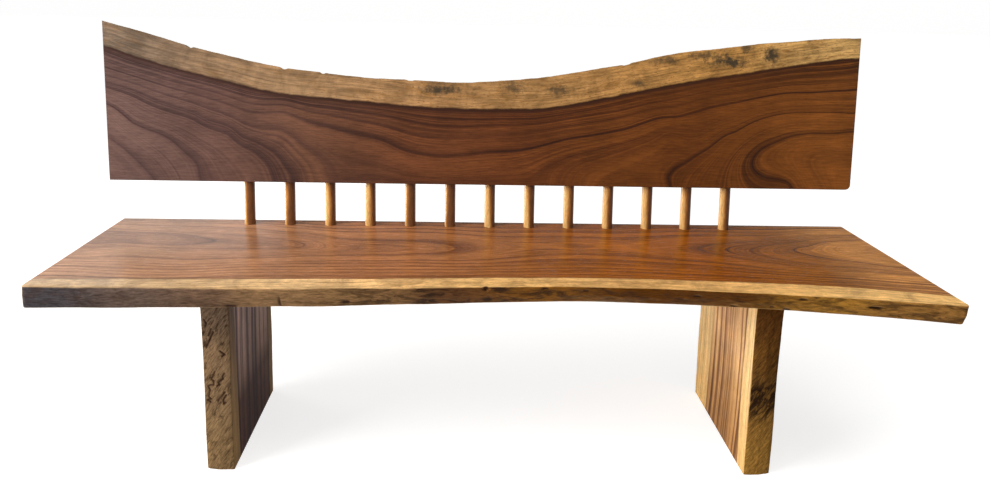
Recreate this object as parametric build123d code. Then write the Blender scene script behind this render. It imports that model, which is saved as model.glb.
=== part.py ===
"""Live edge bench: a slab seat on two slab legs, with a slab backrest raised on a row of round spindles.

Millimetres, +Z up. The origin is on the floor under the middle of the bench. +X runs along the seat,
to the right of someone facing the bench, and +Y runs from the front edge to the back.
"""

import os
from math import cos, pi, radians, sin, tan

from build123d import *

# Seat slab: sawn ends and back edge, natural front edge
SEAT_LENGTH = 1854.0
SEAT_HEIGHT = 450.0
SEAT_THICK = 44.0
# Depth of the sitting face, back edge to front arris, at stations from the left end to the right
SEAT_DEPTHS = (
    (-0.5, 515.0),
    (-0.25, 519.0),
    (-0.08, 508.0),
    (0.07, 494.0),
    (0.19, 505.0),
    (0.34, 537.0),
    (0.5, 583.0),
)
# How far the lower arris of the front edge lies behind the upper one
SEAT_UNDERCUTS = ((-0.5, -5.0), (-0.25, 17.0), (0.14, 40.0), (0.38, 31.0), (0.5, 13.0))

# Backrest slab: sawn ends and lower edge, natural upper edge
BACK_LENGTH = 1846.0
BACK_THICK = 44.0
BACK_SHIFT = -10.0
# Height of the front face, lower edge to upper arris, at stations from left to right
BACK_HEIGHTS = (
    (-0.5, 382.0),
    (-0.4, 331.0),
    (-0.26, 277.0),
    (-0.04, 252.0),
    (0.1, 274.0),
    (0.25, 329.0),
    (0.4, 365.0),
    (0.5, 377.0),
)
# How far the rear arris of the upper edge lies below the front one
BACK_UNDERCUTS = ((-0.5, 9.0), (-0.15, 22.0), (0.2, 12.0), (0.5, 20.0))

# Legs: slabs on end, natural front and rear edges, splayed towards the ends of the bench
LEG_THICK = 60.0
LEG_SPREAD = 1187.0
LEG_SPLAY = 1.95
LEG_BACK_INSET = 62.0
LEFT_LEG_DEPTH = 381.0
RIGHT_LEG_DEPTH = 402.0
# The natural edges of a leg wander in and out of its nominal depth, at stations from the floor up
LEG_WANDERS = ((-0.5, 0.0), (-0.15, 3.0), (0.2, -2.0), (0.5, 2.0))
LEG_UNDERCUTS = ((-0.5, 5.0), (0.0, 9.0), (0.5, 6.0))

# Spindles: plain dowels glued into blind bores in the seat and the backrest
SPINDLE_COUNT = 13
SPINDLE_PITCH = 100.0
SPINDLE_DIA = 27.0
SPINDLE_SHOW = 106.0
SPINDLE_INSET = 39.5
SPINDLE_RAKE = 9.0
SEAT_SOCKET = 28.0
BACK_SOCKET = 45.0

# Loose tenons: square slips glued into blind mortises in each leg's top and the seat's underside
TENON_COUNT = 3
TENON_PITCH = 105.0
TENON_THICK = 14.0
TENON_WIDTH = 60.0
TENON_IN_SEAT = 26.0
TENON_IN_LEG = 40.0

# Fits and finish
GLUE_GAP = 0.1
GLUE_WELL = 1.0
EDGE_EASE = 2.0
CORNER_ROUND = 6.0
# Natural edges swell outwards between their arrises, and ripple along their length
EDGE_SWELL = 4.0
RIPPLE_HEIGHT = 1.1
RIPPLE_LONG = 210.0
RIPPLE_SHORT = 87.0

# Spacing of the points along a natural edge, its rows across the thickness, and the stock left round a cut
EDGE_STEP = 68.0
EDGE_ROWS = (-1.3, -0.7, 0.0, 0.7, 1.3)
EDGE_OVERRUN = 0.02
STOCK = 30.0

# Where things stand
rake = radians(SPINDLE_RAKE)
seat_under = SEAT_HEIGHT - SEAT_THICK
seat_front = max(depth for _, depth in SEAT_DEPTHS)
back_top = max(height for _, height in BACK_HEIGHTS)
back_overhang = sin(rake) * (SPINDLE_SHOW + back_top) + cos(rake) * BACK_THICK / 2 - SPINDLE_INSET
seat_back_y = (seat_front - back_overhang) / 2
leg_back_y = seat_back_y - LEG_BACK_INSET
# The spindles' own frame: Z along their axes, up and back, from where they leave the sitting face
spindle_plane = Plane(
    origin=(0, seat_back_y - SPINDLE_INSET, SEAT_HEIGHT), x_dir=(1, 0, 0), z_dir=(0, sin(rake), cos(rake))
)
spindle_xs = [(i - (SPINDLE_COUNT - 1) / 2) * SPINDLE_PITCH for i in range(SPINDLE_COUNT)]


def along(points, station):
    """Value at a station of a natural outline: the smooth curve through its chosen points."""
    last = len(points) - 1
    i = max(0, min(last - 1, sum(station >= s for s, _ in points) - 1))
    slopes = []
    for k in (i, i + 1):
        (s0, v0), (s1, v1) = points[max(k - 1, 0)], points[min(k + 1, last)]
        slopes.append((v1 - v0) / (s1 - s0))
    (s0, v0), (s1, v1) = points[i], points[i + 1]
    span = s1 - s0
    t = (station - s0) / span
    blend = t * t * (3 - 2 * t)
    rise = span * (slopes[0] * t * (1 - t) ** 2 - slopes[1] * t * t * (1 - t))
    return v0 + (v1 - v0) * blend + rise


def ripple(place, row):
    """Small waves of a natural edge, at a place along the slab and a row across its thickness."""
    long_wave = sin(2 * pi * place / RIPPLE_LONG + row)
    short_wave = sin(2 * pi * place / RIPPLE_SHORT - 2 * row)
    return RIPPLE_HEIGHT * (long_wave + 0.6 * short_wave)


def reach(outline, undercut, length, station, row):
    """A natural edge's reach from the slab's datum: row is 1 at its face arris and -1 at the other."""
    setback = along(undercut, station) * (1 - row) / 2
    swell = EDGE_SWELL * (1 - row * row)
    return along(outline, station) - setback + swell + ripple(station * length, row)


def log_side(outline, undercut, length, thick, face, behind=STOCK):
    """The log that a slab is sawn from: X along the slab, -Y from its datum out to the natural edge.

    The slab's thickness lies on Z, and its face arris on the side that face gives, 1 or -1.
    """
    sections = []
    half = (0.5 + EDGE_OVERRUN) * length
    steps = round(2 * half / EDGE_STEP)
    for row in EDGE_ROWS:
        points = []
        for i in range(steps + 1):
            station = (i / steps - 0.5) * (1 + 2 * EDGE_OVERRUN)
            points.append((station * length, -reach(outline, undercut, length, station, row * face)))
        bark = Spline(*points)
        sawn = Polyline(points[-1], (half, behind), (-half, behind), points[0])
        sections.append(Pos(0, 0, row * thick / 2) * make_face(bark + sawn))
    return loft(sections, ruled=True)


def sawn_blank(length, depth, thick):
    """A planed plank with eased edges: its datum edge on Y = 0, its far edge, still rough, beyond depth."""
    plank = Pos(0, -(depth + STOCK) / 2, 0) * Box(length, depth + STOCK, thick)
    plank = fillet(plank.edges().filter_by(Axis.Z).group_by(Axis.Y)[-1], CORNER_ROUND)
    rough = plank.faces().sort_by(Axis.Y)[0].edges()
    return chamfer(plank.faces().filter_by(Axis.Z).edges() - rough, EDGE_EASE)


def spindle_bore(depth):
    """A bore for a spindle's end, from the mouth at Z = 0 down to depth, with room for glue."""
    return Cylinder(SPINDLE_DIA / 2 + GLUE_GAP, 2 * (depth + GLUE_WELL))


def make_spindle(x):
    """One dowel on its raked axis, from the bottom of one bore to the bottom of the other."""
    length = SEAT_SOCKET + SPINDLE_SHOW + BACK_SOCKET
    dowel = Cylinder(SPINDLE_DIA / 2, length, align=(Align.CENTER, Align.CENTER, Align.MIN))
    return spindle_plane.location * Pos(x, 0, -SEAT_SOCKET) * dowel


def leg_top_x(side):
    """Where a leg's middle meets the seat's underside; side is -1 on the left and 1 on the right."""
    return side * (LEG_SPREAD / 2 - seat_under * tan(radians(LEG_SPLAY)))


def tenon_places(side, leg_depth):
    """Middles of a leg's tenons, on the seat's underside."""
    middle_y = leg_back_y - leg_depth / 2
    steps = [i - (TENON_COUNT - 1) / 2 for i in range(TENON_COUNT)]
    return [(leg_top_x(side), middle_y + step * TENON_PITCH, seat_under) for step in steps]


def tenon_slip(gap, well):
    """A square slip standing across the joint at Z = 0, grown by a gap all round and a well at its ends."""
    height = TENON_IN_SEAT + TENON_IN_LEG + 2 * well
    slip = Box(TENON_THICK + 2 * gap, TENON_WIDTH + 2 * gap, height)
    return Pos(0, 0, (TENON_IN_SEAT - TENON_IN_LEG) / 2) * slip


def make_tenons(side, leg_depth):
    """The slips of one leg, front to back."""
    return [Pos(*place) * tenon_slip(0, 0) for place in tenon_places(side, leg_depth)]


def tenon_mortises(side, leg_depth):
    """What the slips of one leg take out of the leg and the seat."""
    return [Pos(*place) * tenon_slip(GLUE_GAP, GLUE_WELL) for place in tenon_places(side, leg_depth)]


def make_leg(side, leg_depth):
    """A slab on end between its two natural edges, cut level at the floor and at the seat's underside."""
    length = (seat_under + 2 * STOCK) / cos(radians(LEG_SPLAY))
    front = tuple((s, leg_depth / 2 + wander) for s, wander in LEG_WANDERS)
    rear = tuple((s, leg_depth / 2 - wander) for s, wander in LEG_WANDERS)
    plank = Box(length, leg_depth + 2 * STOCK, LEG_THICK)
    plank &= log_side(front, LEG_UNDERCUTS, length, LEG_THICK, side, leg_depth)
    plank &= Rot(Z=180) * log_side(rear, LEG_UNDERCUTS, length, LEG_THICK, side, leg_depth)
    stand = Plane(
        origin=(side * LEG_SPREAD / 2, leg_back_y - leg_depth / 2, 0),
        x_dir=(-side * sin(radians(LEG_SPLAY)), 0, cos(radians(LEG_SPLAY))),
        z_dir=(-cos(radians(LEG_SPLAY)), 0, -side * sin(radians(LEG_SPLAY))),
    )
    leg = stand.location * Pos(length / 2 - STOCK, 0, 0) * plank
    room = Pos(0, 0, seat_under / 2) * Box(2 * SEAT_LENGTH, 2 * SEAT_LENGTH, seat_under)
    return (leg & room) - tenon_mortises(side, leg_depth)


def make_seat():
    """The seat slab, bored for the spindles and mortised for the legs."""
    plank = sawn_blank(SEAT_LENGTH, seat_front, SEAT_THICK)
    plank &= log_side(SEAT_DEPTHS, SEAT_UNDERCUTS, SEAT_LENGTH, SEAT_THICK, 1)
    seat = Pos(0, seat_back_y, SEAT_HEIGHT - SEAT_THICK / 2) * plank
    seat -= [spindle_plane.location * Pos(x, 0, 0) * spindle_bore(SEAT_SOCKET) for x in spindle_xs]
    seat -= tenon_mortises(-1, LEFT_LEG_DEPTH)
    seat -= tenon_mortises(1, RIGHT_LEG_DEPTH)
    return seat


def make_backrest():
    """The backrest slab, raked with the spindles and bored for them along its lower edge."""
    plank = sawn_blank(BACK_LENGTH, back_top, BACK_THICK)
    plank &= log_side(BACK_HEIGHTS, BACK_UNDERCUTS, BACK_LENGTH, BACK_THICK, -1)
    back = Pos(BACK_SHIFT, 0, SPINDLE_SHOW) * Rot(X=-90) * plank
    back -= [Pos(x, 0, SPINDLE_SHOW) * spindle_bore(BACK_SOCKET) for x in spindle_xs]
    return spindle_plane.location * back


def main():
    """Builds every piece and writes each to its own STEP file."""
    pieces = {
        "seat_slab": make_seat(),
        "backrest_slab": make_backrest(),
        "left_leg": make_leg(-1, LEFT_LEG_DEPTH),
        "right_leg": make_leg(1, RIGHT_LEG_DEPTH),
    }
    for i, x in enumerate(spindle_xs):
        pieces[f"spindle_{i + 1:02d}"] = make_spindle(x)
    for name, side, depth in (("left", -1, LEFT_LEG_DEPTH), ("right", 1, RIGHT_LEG_DEPTH)):
        for i, tenon in enumerate(make_tenons(side, depth)):
            pieces[f"{name}_leg_tenon_{i + 1}"] = tenon
    os.makedirs("parts", exist_ok=True)
    for name, piece in pieces.items():
        export_step(piece, f"parts/{name}.step")


main()
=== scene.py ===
"""Live edge bench: slab seat and legs, a slab backrest on spindles, with their wood and a studio stage."""

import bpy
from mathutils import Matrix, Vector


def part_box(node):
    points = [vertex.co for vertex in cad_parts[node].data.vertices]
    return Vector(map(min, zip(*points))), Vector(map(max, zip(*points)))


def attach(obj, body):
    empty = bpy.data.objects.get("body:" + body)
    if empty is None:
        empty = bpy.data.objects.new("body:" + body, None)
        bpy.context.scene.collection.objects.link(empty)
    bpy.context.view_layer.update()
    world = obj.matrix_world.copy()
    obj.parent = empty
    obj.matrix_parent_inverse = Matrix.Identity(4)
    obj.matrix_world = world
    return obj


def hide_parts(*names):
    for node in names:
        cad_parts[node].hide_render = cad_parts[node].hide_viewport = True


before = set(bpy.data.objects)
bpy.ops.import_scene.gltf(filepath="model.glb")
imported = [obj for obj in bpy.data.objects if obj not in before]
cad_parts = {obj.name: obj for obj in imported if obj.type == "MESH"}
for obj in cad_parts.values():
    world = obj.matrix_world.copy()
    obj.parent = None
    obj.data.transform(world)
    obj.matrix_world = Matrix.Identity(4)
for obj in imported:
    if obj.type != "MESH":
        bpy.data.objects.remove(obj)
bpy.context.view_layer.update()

from math import cos, radians, sin

import bpy
import numpy as np
from bpy.props import FloatProperty, FloatVectorProperty, IntProperty, PointerProperty
from mathutils import Matrix, Vector, noise
from mathutils.bvhtree import BVHTree

bl_info = {
    "name": "Live edge bench",
    "version": (1, 0, 0),
    "blender": (4, 5, 0),
    "location": "View3D > Sidebar > Bench",
    "description": "Builds a live edge bench piece by piece around its CAD frame",
    "category": "Add Mesh",
}

SPINDLES = sorted(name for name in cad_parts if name.startswith("spindle"))
TENONS = sorted(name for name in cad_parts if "tenon" in name)

# Cuts that make each slab's block a grid: rounds of cuts for each axis
SEAT_CUTS = ((24, 24), (44,), (15,))
BACK_CUTS = ((24, 24), (50,), (13,))
LEG_CUTS = ((16, 16), (34,), (35,))
# Lengthwise cuts of a spindle
SPINDLE_CUTS = 23
# How much closer the backrest's rows of points lie towards its lower edge
ROW_CROWDING = 1.4
# Seeds of the wear on the natural edges; a leg's rear edge has its own, a step further on
SEAT_SEED, BACK_SEED, REAR_STEP = 1.0, 21.0, 4
LEG_SEEDS = {"left_leg": 40.0, "right_leg": 50.0}
# Wear of a natural edge, coarse to fine: how often it comes along and across the edge, seed, share of depth
WEAR = ((9, 0.8, 0, 0.45), (42, 2.6, 5, 0.35), (120, 6, 9, 0.2))
WEAR_LEVEL = 0.25

# Lengths in metres. Lines drawn to a CAD solid keep this far inside its eased edges
SHY = 0.0035
# Half the thickness of the seat and of the backrest, by which pits are placed across their edges
HALF_THICK = 0.022
TRAIL_DEPTH = 0.0014
SLAB_RELIEF, SPINDLE_RELIEF, TENON_RELIEF = 0.0011, 0.0004, 0.0003
# Half the width of a grub's trail, at its floor and at its rim
TRAIL_WIDTHS = (0.001, 0.003)
# How deep a stain goes into the backrest
STAIN_DEPTH = 0.03
# How far to each side a heart line is smoothed
HEART_SMOOTHING = 0.03
# Distance of the seat's pith from the back edge, and how far round it the growth turns over
PITH, PITH_SPREAD = 0.23, 0.15
# How far the grain reaches on each face, and where on it the natural edge begins
SEAT_SPAN, SEAT_EDGE = (-0.02, 0.62), (0.4, 0.45)
BACK_SPAN, BACK_EDGE = (-0.03, 0.42), (0.15, 0.2)
# Bends of a leg's growth lines: size, radians to the metre of height, and share of the seed
LEG_BENDS = ((0.008, 5.2, 1), (0.003, 13, 2))
FLOOR_SIZE, WALL_HEIGHT = 60, 4

# How far a face has to turn outwards to be natural edge, from none of it to all of it
BARK_TURN = (0.45, 0.8)
# Slope of growth lines and of the heart line through a slab
SEAT_SLOPE, BACK_SLOPE, BACK_HEART_SLOPE = 0.7, 0.5, 0.4
# Rings from a leg's front to its back
LEG_RINGS = 10
# Faces that meet at less than this are shaded as one
SMOOTH_BELOW = radians(40)
# How loosely the grain's surface follows the lines drawn for it
GRAIN_GIVE = 2e-4
# Gloss of the seat's natural edge, which is duller than its top
EDGE_GLOSS = 0.03
# The one tone of the legs' outer faces, as a place on the legs' ramps; it keeps the painted shade at the
# foot of the left leg's ramps off its outer face
OUTER_REACH = 0.3
# From one spindle to the next: turn in radians, and steps of the seeds of its wood and of its wear
SPINDLE_TURN, SPINDLE_STEP, SPINDLE_WEAR_STEP = 2.1, 3.7, 9
# How often a spindle's wear comes to the metre, across it and along it
SPINDLE_WEAR = (60, 14)
# Share of pale wood in each spindle, left to right
SPINDLE_TONES = (0.25, 0.25, 0.44, 0.62, 0.24, 0.17, 0.49, 0.46, 0.45, 0.37, 0.36, 0.33, 0.42)

# Grain of the sitting face: growth lines as (ring, points), in metres from the middle and from the back edge
SEAT_HEART = ((-0.93, 0.470), (-0.55, 0.461), (-0.22, 0.451), (0.0, 0.438), (0.17, 0.434), (0.3, 0.437),
              (0.485, 0.450), (0.61, 0.461), (0.735, 0.479), (0.86, 0.509), (0.93, 0.530))
SEAT_GRAIN = (
    (4.5, ((-0.9, 0.352), (-0.53, 0.347), (-0.305, 0.330), (-0.18, 0.322), (-0.015, 0.317), (0.11, 0.279),
           (0.19, 0.270), (0.3, 0.279), (0.385, 0.301), (0.485, 0.320), (0.61, 0.361), (0.766, 0.392),
           (0.92, 0.426))),
    (6.0, ((-0.9, 0.334), (-0.65, 0.330), (-0.53, 0.317), (-0.417, 0.300), (-0.305, 0.289), (-0.21, 0.282),
           (-0.13, 0.268), (-0.09, 0.240), (-0.1, 0.215), (-0.136, 0.198), (-0.24, 0.184), (-0.37, 0.166),
           (-0.505, 0.114), (-0.58, 0.092), (-0.755, 0.076), (-0.92, 0.06))),
    (6.0, ((0.92, 0.401), (0.766, 0.364), (0.672, 0.336), (0.61, 0.307), (0.56, 0.282), (0.516, 0.251),
           (0.491, 0.220), (0.504, 0.201), (0.535, 0.182), (0.585, 0.167), (0.672, 0.148), (0.735, 0.136),
           (0.92, 0.085))),
    (8.0, ((-0.92, 0.242), (-0.85, 0.236), (-0.774, 0.245), (-0.692, 0.257), (-0.63, 0.250), (-0.58, 0.250),
           (-0.474, 0.248), (-0.437, 0.236), (-0.43, 0.223), (-0.45, 0.198), (-0.5, 0.170), (-0.58, 0.151),
           (-0.724, 0.126), (-0.91, 0.107))),
    (8.0, ((0.92, 0.345), (0.829, 0.301), (0.766, 0.276), (0.729, 0.245), (0.716, 0.217), (0.729, 0.201),
           (0.766, 0.186), (0.8, 0.160), (0.92, 0.128))),
    (9.6, ((0.92, 0.235), (-0.92, 0.19), (-0.78, 0.19))),
    (5.2, ((0.2, 0.22),)),
    (3.4, ((-0.4, 0.06), (0.0, 0.075), (0.3, 0.07), (0.6, 0.055))),
    (2.0, ((-0.9, 0.0), (-0.3, 0.0), (0.2, 0.0), (0.9, 0.0))),
)
# Grain of the backrest's face: points in metres from the middle of the seat and from the slab's lower edge
BACK_HEART = ((-0.93, 0.323), (-0.861, 0.298), (-0.756, 0.270), (-0.651, 0.246), (-0.552, 0.222),
              (-0.46, 0.212), (-0.344, 0.204), (-0.189, 0.191), (-0.048, 0.187), (0.122, 0.190),
              (0.232, 0.209), (0.358, 0.237), (0.469, 0.260), (0.595, 0.280), (0.706, 0.300),
              (0.785, 0.313), (0.91, 0.329))
BACK_GRAIN = (
    (1.6, ((-0.51, 0.171), (-0.404, 0.140), (-0.335, 0.121), (-0.272, 0.109), (-0.21, 0.084),
           (-0.147, 0.074), (-0.097, 0.073), (-0.01, 0.081), (0.091, 0.090), (0.191, 0.115), (0.335, 0.143),
           (0.46, 0.174), (0.547, 0.199), (0.616, 0.215), (0.691, 0.231), (0.797, 0.240), (0.91, 0.249))),
    (2.2, ((-0.666, 0.171), (-0.497, 0.127), (-0.46, 0.096), (-0.397, 0.040), (-0.385, 0.0))),
    (2.2, ((0.385, 0.127), (0.31, 0.102), (0.247, 0.084), (0.16, 0.052), (0.132, 0.024), (0.137, 0.0))),
    (2.7, ((-0.685, 0.149), (-0.61, 0.112), (-0.554, 0.090), (-0.504, 0.046), (-0.482, 0.021),
           (-0.484, 0.0))),
    (2.7, ((0.45, 0.133), (0.385, 0.096), (0.335, 0.073), (0.247, 0.036), (0.228, 0.014), (0.232, 0.0))),
    (3.1, ((-0.929, 0.221), (-0.866, 0.202), (-0.729, 0.152), (-0.641, 0.115), (-0.585, 0.077),
           (-0.547, 0.043), (-0.532, 0.0))),
    (2.95, ((0.59, 0.146), (0.53, 0.108), (0.487, 0.083), (0.443, 0.056), (0.423, 0.03), (0.43, 0.004))),
    (3.1, ((0.91, 0.190), (0.797, 0.191), (0.735, 0.188), (0.66, 0.168), (0.61, 0.140), (0.547, 0.102),
           (0.504, 0.077), (0.46, 0.049), (0.441, 0.027), (0.451, 0.006))),
    (4.2, ((-0.929, 0.184), (-0.872, 0.140), (-0.797, 0.109), (-0.754, 0.074), (-0.722, 0.040),
           (-0.716, 0.0))),
    (4.6, ((0.91, 0.149), (0.86, 0.143), (0.804, 0.143), (0.754, 0.137), (0.71, 0.121), (0.679, 0.106),
           (0.657, 0.084), (0.649, 0.065), (0.654, 0.046), (0.672, 0.027), (0.704, 0.015),
           (0.754, 0.007))),
    (5.5, ((-0.897, 0.077), (-0.86, 0.040), (-0.826, 0.0))),
    (5.6, ((0.82, 0.07), (0.91, 0.075))),
    (6.2, ((-0.92, 0.02),)),
)
# Darkness of the growth lines, as (ring, darkness): one chart for the left of a slab and one for the right
SEAT_CHARTS = (
    ((0.0, 0.2), (0.45, 0.1), (0.7, 0.65), (0.82, 0.1), (1.4, 0.15), (1.55, 0.75), (1.7, 0.1), (2.1, 0.15),
     (2.25, 0.65), (2.37, 0.1), (2.85, 0.15), (3.05, 0.8), (3.17, 0.1), (3.65, 0.2), (3.8, 0.65),
     (3.92, 0.1), (4.3, 0.15), (4.5, 0.75), (4.62, 0.1), (5.5, 0.15), (5.95, 0.6), (6.02, 0.25), (6.9, 0.2),
     (7.8, 0.3), (8.0, 0.62), (8.06, 0.3), (8.4, 0.4), (8.6, 0.72), (8.75, 0.55), (10.0, 0.45)),
    ((0.0, 0.2), (0.5, 0.1), (0.75, 0.55), (0.87, 0.1), (1.6, 0.55), (1.72, 0.1), (2.2, 0.5), (2.32, 0.1),
     (3.05, 0.6), (3.17, 0.15), (3.8, 0.55), (3.92, 0.15), (4.35, 0.2), (4.5, 0.6), (4.62, 0.2),
     (5.5, 0.15), (5.85, 0.35), (5.97, 0.95), (6.05, 0.4), (6.3, 0.36), (6.36, 0.75), (6.42, 0.34),
     (6.72, 0.32), (6.79, 0.68), (6.86, 0.3), (7.3, 0.3), (7.38, 0.6), (7.45, 0.3), (7.93, 0.38),
     (7.98, 0.7), (8.02, 0.25), (10.0, 0.15)),
)
BACK_CHARTS = (
    ((0.0, 0.75), (0.12, 0.5), (0.3, 0.25), (0.42, 0.6), (0.5, 0.2), (0.7, 0.6), (0.78, 0.15), (1.1, 0.5),
     (1.18, 0.15), (1.5, 0.25), (1.6, 0.75), (1.66, 0.15), (2.0, 0.12), (2.2, 0.4), (2.24, 0.12),
     (2.5, 0.2), (2.72, 0.5), (2.8, 0.32), (3.04, 0.45), (3.1, 0.75), (3.16, 0.15), (3.8, 0.12),
     (4.05, 0.25), (4.2, 0.55), (4.3, 0.15), (5.2, 0.12), (5.5, 0.5), (5.58, 0.15), (7.0, 0.2)),
    ((0.0, 0.7), (0.1, 0.5), (0.25, 0.3), (0.4, 0.65), (0.47, 0.25), (0.68, 0.6), (0.75, 0.25), (1.05, 0.5),
     (1.12, 0.24), (1.5, 0.32), (1.6, 0.85), (1.65, 0.22), (2.1, 0.2), (2.2, 0.36), (2.24, 0.2),
     (2.64, 0.36), (2.7, 0.2), (3.02, 0.28), (3.1, 0.85), (3.14, 0.22), (3.8, 0.2), (4.4, 0.27),
     (4.5, 0.72), (4.54, 0.4), (4.63, 0.42), (4.69, 0.95), (4.75, 0.25), (5.2, 0.15), (7.0, 0.08)),
)
# A leg has one chart, from its front to its back
LEG_CHARTS = {
    "left_leg": ((0.0, 0.3), (1.2, 0.4), (1.4, 0.9), (1.7, 0.3), (2.3, 0.35), (2.5, 0.75), (2.8, 0.25),
                 (3.4, 0.4), (3.6, 0.85), (4.0, 0.35), (4.6, 0.3), (4.8, 0.7), (5.2, 0.4), (5.5, 0.85),
                 (5.8, 0.3), (6.4, 0.2), (6.6, 0.65), (6.9, 0.2), (7.4, 0.25), (7.6, 0.6), (7.8, 0.15),
                 (8.6, 0.2), (8.8, 0.5), (9.1, 0.2), (10.0, 0.2)),
    "right_leg": ((0.0, 0.1), (1.3, 0.1), (1.5, 0.45), (1.75, 0.5), (1.85, 0.05), (2.05, 0.1), (2.2, 0.45),
                  (2.3, 0.1), (2.7, 0.15), (2.8, 0.4), (2.95, 0.1), (3.4, 0.3), (3.5, 0.5), (3.6, 0.2),
                  (4.0, 0.35), (4.2, 0.5), (4.3, 0.2), (4.8, 0.4), (5.0, 0.5), (5.1, 0.1), (5.5, 0.15),
                  (5.6, 0.5), (5.9, 0.45), (6.0, 0.05), (6.3, 0.1), (6.5, 0.5), (6.7, 0.5), (6.8, 0.0),
                  (7.4, 0.1), (10.0, 0.0)),
}
# Stains on the backrest's sapwood: place along it, height on it, length, height and depth of colour
BACK_STAINS = (
    (-0.125, 0.232, 0.055, 0.014, 1.0), (0.055, 0.24, 0.035, 0.014, 0.75),
    (0.165, 0.235, 0.035, 0.014, 0.8), (0.36, 0.255, 0.02, 0.012, 0.8),
    (0.43, 0.312, 0.05, 0.012, 0.75), (0.53, 0.325, 0.06, 0.01, 0.75),
    (0.585, 0.312, 0.06, 0.018, 1.0), (0.63, 0.345, 0.025, 0.012, 0.8),
    (0.69, 0.328, 0.024, 0.026, 1.0),
)
# The one stain on the seat's top: place along it, distance from the back edge, size and depth of colour
SEAT_STAIN = (0.025, 0.05, (0.006, 0.004, 0.01), 0.9)
# Trails of grubs on the left leg's front: places across it from its middle and heights, in metres
TRAILS = (
    ((-0.004, 0.234), (-0.009, 0.223), (-0.012, 0.218)),
    ((0.0165, 0.232), (0.0125, 0.225), (0.014, 0.219), (0.008, 0.215), (0.003, 0.21), (0.005, 0.205),
     (-0.001, 0.202)),
    ((-0.0125, 0.215), (-0.007, 0.213), (-0.008, 0.203), (-0.015, 0.202), (-0.0205, 0.199), (-0.0165, 0.19),
     (-0.019, 0.183), (-0.0205, 0.174), (-0.015, 0.17), (-0.0235, 0.166), (-0.0165, 0.162)),
    ((0.016, 0.188), (0.008, 0.178), (0.0, 0.167)),
    ((0.019, 0.182), (0.012, 0.17), (0.013, 0.16), (0.017, 0.164)),
    ((-0.023, 0.351), (-0.018, 0.342), (-0.021, 0.336)),
    ((-0.004, 0.325), (-0.012, 0.306), (-0.021, 0.288)),
    ((-0.008, 0.332), (-0.014, 0.316)),
    ((0.009, 0.282), (0.015, 0.277), (0.019, 0.274), (0.013, 0.271)),
)
# Pits in the seat's front edge: place along it, place across it (-1 low, 1 high), length, height and depth
SEAT_PITS = (
    (-0.525, -0.82, 0.011, 0.003, 0.003), (-0.30, -0.5, 0.009, 0.0035, 0.002),
    (-0.02, 0.9, 0.005, 0.007, 0.005), (0.10, 0.8, 0.007, 0.0025, 0.002),
    (0.184, 0.55, 0.006, 0.003, 0.002), (0.41, 0.3, 0.008, 0.0025, 0.002),
    (0.492, -0.78, 0.008, 0.003, 0.002), (0.565, -0.6, 0.004, 0.003, 0.002),
    (0.595, -0.82, 0.007, 0.003, 0.002), (0.6175, 0.55, 0.008, 0.0032, 0.004),
    (0.758, 0.1, 0.014, 0.0032, 0.005), (-0.43, -0.4, 0.0016, 0.02, 0.001),
)
# Notches in the backrest's upper edge, given as the pits are
BACK_NOTCHES = (
    (-0.729, -0.8, 0.007, 0.02, 0.004), (-0.504, -0.8, 0.006, 0.02, 0.003),
    (-0.411, -0.6, 0.005, 0.02, 0.003), (-0.2, -0.9, 0.008, 0.015, 0.002),
    (0.33, -0.8, 0.009, 0.015, 0.003),
)

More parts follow.
